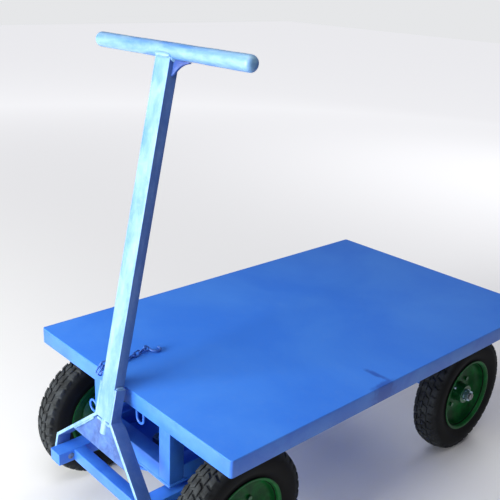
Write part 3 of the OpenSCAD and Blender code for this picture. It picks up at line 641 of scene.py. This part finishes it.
rubber = bpy.data.materials.new("moulded_black_rubber")
rubber.use_nodes = True
tree = rubber.node_tree
shader = tree.nodes["Principled BSDF"]
place = add_node(tree, "ShaderNodeTexCoord").outputs["Object"]
tread_dust = add_node(tree, "ShaderNodeAttribute", attribute_name="dust").outputs["Fac"]
patches = add_node(tree, "ShaderNodeTexNoise",
                   {"Scale": FROM_METRES / DUST_PATCH, "Detail": 7, "Roughness": 0.68}, {"Vector": place})
patchy = add_node(tree, "ShaderNodeMapRange",
                  {"From Min": 0.36, "From Max": 0.66, "To Min": 0.12, "To Max": 0.95},
                  {"Value": patches.outputs["Fac"]})
covered = add_node(tree, "ShaderNodeMath", None, {0: patchy.outputs[0], 1: tread_dust},
                   operation="MULTIPLY")
tone = add_node(tree, "ShaderNodeMix", {6: linear("#0D0E10"), 7: linear("#3C4044")},
                {0: covered.outputs[0]}, data_type="RGBA")
tree.links.new(tone.outputs[2], shader.inputs["Base Color"])
grain = add_node(tree, "ShaderNodeTexNoise", {"Scale": FROM_METRES / MOULD_GRAIN, "Detail": 4},
                 {"Vector": place})
skin = add_node(tree, "ShaderNodeBump", {"Strength": 0.35, "Distance": 0.4 * MM},
                {"Height": grain.outputs["Fac"]})
tree.links.new(skin.outputs[0], shader.inputs["Normal"])
shader.inputs["Roughness"].default_value = 0.78
shader.inputs["Specular IOR Level"].default_value = 0.2
tyre.data.materials.append(rubber)


def fit_wheels(template, name, nodes):
    """Puts a copy of a piece, made round the X axis with its outer side at +X, on each wheel."""
    for end in ("front", "rear"):
        for side in ("left", "right"):
            low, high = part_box(f"tyre_{end}_{side}")
            piece = bpy.data.objects.new(f"{name}_{end}_{side}", template.data.copy())
            bpy.context.scene.collection.objects.link(piece)
            turn = Matrix.Rotation(math.pi if side == "left" else 0, 4, "Z")
            piece.data.transform(Matrix.Translation((low + high) / 2) @ turn)
            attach(piece, f"wheel_{end}_{side}")
            if nodes:
                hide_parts(*[f"{node}_{end}_{side}" for node in nodes])
    bpy.data.objects.remove(template)


fit_wheels(tyre, "tread_tyre", ["tyre"])


# ---- Rims ----
# Two halves pressed from 2.5 mm sheet, bolted back to back: a rolled flange, a bead seat and a
# deep dished disc. They are sprayed with a darker gloss green enamel.
RIM_STEPS = 64
# the section's points, out from the wheel's middle plane and out from its axis, in millimetres
LIP = [(33.2, 99.0), (33.4, 103.0), (34.2, 105.4), (36.0, 106.2), (37.0, 105.0), (36.4, 102.6)]
DISH = [(35.4, 99.0), (31.0, 96.6), (20.0, 95.0), (11.0, 92.5), (5.6, 86.0), (3.6, 76.0), (3.2, 62.0),
        (4.6, 56.0), (4.8, 40.0), (3.2, 33.0), (3.0, 27.3)]
BACK = [(0.3, 27.3), (0.3, 60.0), (0.4, 78.0), (2.4, 89.0), (9.0, 96.0), (20.0, 98.0), (30.0, 98.4)]

outline = [Vector((x * MM, 0, r * MM)) for x, r in LIP + DISH + BACK]
rim_half = spun("rim_pressing", outline, RIM_STEPS)
bpy.ops.object.mode_set(mode="OBJECT")
bpy.ops.object.modifier_add(type="SUBSURF")
rim_half.modifiers[-1].levels = rim_half.modifiers[-1].render_levels = 1
bpy.ops.object.modifier_apply(modifier=rim_half.modifiers[-1].name)
bpy.ops.object.shade_smooth()
rim_enamel = enamel("green_rim_enamel", "#04441C", "#0A6A2C", 45, 0.38, 0.0, 0.3)
rim_enamel.node_tree.nodes["Principled BSDF"].inputs["Specular IOR Level"].default_value = 0.2
rim_enamel.node_tree.nodes["Principled BSDF"].inputs["Coat Weight"].default_value = 0
rim_half.data.materials.append(rim_enamel)

rim_back = bpy.data.objects.new("rim_back", rim_half.data.copy())
bpy.context.scene.collection.objects.link(rim_back)
rim_back.data.transform(Matrix.Rotation(math.pi, 4, "Z"))
fit_wheels(rim_half, "rim_outer_half", ["rim"])
fit_wheels(rim_back, "rim_inner_half", [])

# the valve: a moulded rubber stem through the dish, with a plated cap on its end
STEM_STEPS = 20
VALVE_OUT, VALVE_R = 7, 84              # its foot, in the same millimetres
VALVE_TURN, VALVE_LEAN = 55, 14         # degrees round the wheel, and in towards its axis
STEM = [(1.0, 0.1), (1.0, 7.5), (3.5, 7.5), (6.0, 5.0), (19.0, 4.1), (20.0, 3.2), (20.0, 0.1)]
CAP = [(19.0, 0.1), (19.0, 3.9), (27.0, 3.9), (28.2, 3.0), (28.2, 0.1)]
zinc_steel = steel("zinc_plated_steel", "#A9C3D2", "#7E98A8", 0.3)
on_dish = Matrix.Rotation(math.radians(VALVE_TURN), 4, "X")
on_dish @= Matrix.Translation((VALVE_OUT * MM, 0, VALVE_R * MM))
leaning_in = Matrix.Rotation(math.radians(VALVE_LEAN), 4, "Y")
for name, profile, material, slot in (("valve_stem", STEM, rubber, "tyre_rubber"),
                                      ("valve_cap", CAP, zinc_steel, "bare_steel")):
    valve_part = spun(name, [Vector((x * MM, 0, r * MM)) for x, r in profile], STEM_STEPS)
    bpy.ops.object.mode_set(mode="OBJECT")
    bpy.ops.object.shade_smooth_by_angle(angle=math.radians(40))
    valve_part.data.materials.append(material)
    valve_part.data.transform(on_dish @ leaning_in)
    fit_wheels(valve_part, name, [])

hub_enamel = enamel("green_hub_enamel", "#0F5529", "#16703A", 30, 0.32, 0.15, 0.3)
for end in ("front", "rear"):
    for side in ("left", "right"):
        finish_node(f"hub_{end}_{side}", hub_enamel)

for node in ("front_axle_nuts", "rear_axle_nuts"):
    finish_node(node, zinc_steel)


# ---- Keeper chain ----
# Welded 4 mm wire links with a bent wire hook, painted along with the deck and since chipped.
chain_coat = enamel("chipped_blue_enamel", "#274FA2", "#4277D2", 14, 0.5, 0.1, 0.4)
for node in ("chain_staple", "keeper_chain", "chain_hook"):
    finish_node(node, chain_coat)
